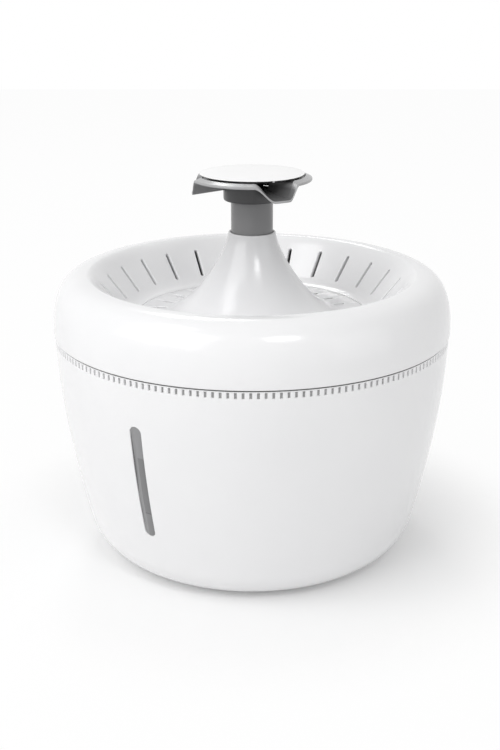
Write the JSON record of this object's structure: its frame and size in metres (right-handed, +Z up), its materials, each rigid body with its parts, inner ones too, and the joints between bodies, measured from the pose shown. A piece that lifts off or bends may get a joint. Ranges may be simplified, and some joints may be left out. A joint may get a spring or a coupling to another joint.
{
  "type": "pet water fountain",
  "caption": "Round pet drinking fountain: tapered tank with a water window, roll-over drinking tray with a slotted funnel wall, trumpet cone with a leaf spout, ring filter and a submerged pump.",
  "frame": {"origin": "on the table, under the middle of the tank", "axes": "+Z up, -Y towards the front, +X to the right as seen from the front"},
  "size_m": [0.2, 0.2, 0.193],
  "materials": {
    "white": "glossy",
    "leaf_grey": "satin",
    "neck_grey": "satin",
    "stem_grey": "satin",
    "smoke_window": "glossy",
    "rubber": "matt",
    "black_plastic": "satin",
    "pump_plastic": "satin",
    "basket_plastic": "satin",
    "riser_plastic": "clear",
    "nickel": "plated",
    "steel_core": "laminated",
    "copper_wire": "enamelled",
    "resin": "cast",
    "magnet": "sintered",
    "ceramic": "polished",
    "sponge": "open cell",
    "cotton": "felted",
    "carbon": "granules",
    "frame_white": "satin"
  },
  "bodies": {
    "tank_body": {"tank": "white", "window_lens": "smoke_window", "window_gasket": "rubber", "foot_pads": "rubber", "inlet_body": "black_plastic", "inlet_pin": "nickel", "inlet_nut": "nickel", "inlet_seal": "rubber", "pump_lead": "rubber", "motor_case": "pump_plastic", "stator_core": "steel_core", "stator_coil": "copper_wire", "potting_resin": "resin", "suction_cups": "rubber", "volute_cover": "pump_plastic", "volute_seal": "rubber", "impeller_shaft": "ceramic", "shaft_bushes": "rubber", "riser_tube": "riser_plastic"},
    "rotor": {"impeller": "frame_white", "rotor_magnet": "magnet"},
    "strainer_body": {"strainer": "pump_plastic", "prefilter_sponge": "sponge"},
    "gate": {"flow_gate": "basket_plastic"},
    "tray_body": {"drinking_tray": "white"},
    "cone_body": {"fountain_cone": "white"},
    "basket_body": {"filter_basket": "basket_plastic", "filter_frame": "frame_white", "lower_cotton": "cotton", "carbon_bed": "carbon", "upper_cotton": "cotton", "filter_lid": "frame_white"},
    "stem_body": {"spout_stem": "stem_grey", "stem_seal": "rubber"},
    "head_body": {"spout_neck": "neck_grey", "spout_leaf": "leaf_grey"},
    "cap_body": {"spout_cap": "white", "cap_plug": "neck_grey"}
  },
  "joints": [
    {"name": "rotor_spin", "type": "hinge", "parent": "tank_body", "child": "rotor", "pos_m": [0, 0, 0.0256], "axis": [0, 1, 0], "continuous": true},
    {"name": "strainer_pull", "type": "slide", "parent": "tank_body", "child": "strainer_body", "axis": [0, -1, 0], "range_m": [0, 0.02]},
    {"name": "gate_slide", "type": "slide", "parent": "strainer_body", "child": "gate", "axis": [0, 0, 1], "range_m": [0, 0.008]},
    {"name": "tray_lift", "type": "slide", "parent": "tank_body", "child": "tray_body", "axis": [0, 0, 1], "range_m": [0, 0.08]},
    {"name": "cone_lift", "type": "slide", "parent": "tray_body", "child": "cone_body", "axis": [0, 0, 1], "range_m": [0, 0.05]},
    {"name": "basket_twist", "type": "hinge", "parent": "cone_body", "child": "basket_body", "pos_m": [0, 0, 0.1], "axis": [0, 0, 1], "range_deg": [0, 20]},
    {"name": "stem_lift", "type": "slide", "parent": "cone_body", "child": "stem_body", "axis": [0, 0, 1], "range_m": [0, 0.035]},
    {"name": "head_turn", "type": "hinge", "parent": "stem_body", "child": "head_body", "pos_m": [0, 0, 0.181], "axis": [0, 0, 1], "continuous": true},
    {"name": "cap_lift", "type": "slide", "parent": "head_body", "child": "cap_body", "axis": [0, 0, 1], "range_m": [0, 0.012]}
  ]
}
